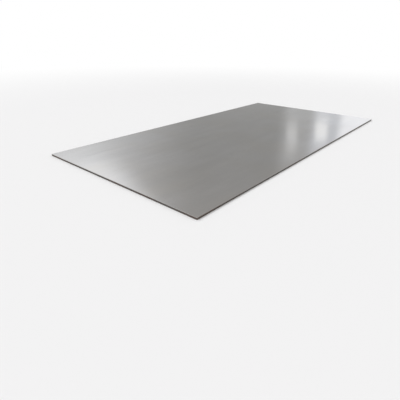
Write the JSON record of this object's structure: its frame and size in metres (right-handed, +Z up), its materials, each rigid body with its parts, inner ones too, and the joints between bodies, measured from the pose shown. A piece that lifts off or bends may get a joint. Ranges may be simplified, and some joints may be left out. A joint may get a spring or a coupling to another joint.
{
  "type": "titanium sheet",
  "caption": "Flat rectangular titanium sheet, raw stock with a smooth mill-finished face and sheared edges, for cutting, forming or machining",
  "frame": {"origin": "centre of the underside, on the surface that the sheet lies on", "axes": "+X along the length, +Y across the width, +Z up through the thickness"},
  "size_m": [2, 1, 0.01],
  "materials": {
    "titanium": "cold-rolled mill finish, satin"
  },
  "bodies": {
    "root": {"titanium_sheet": "titanium"}
  },
  "joints": []
}
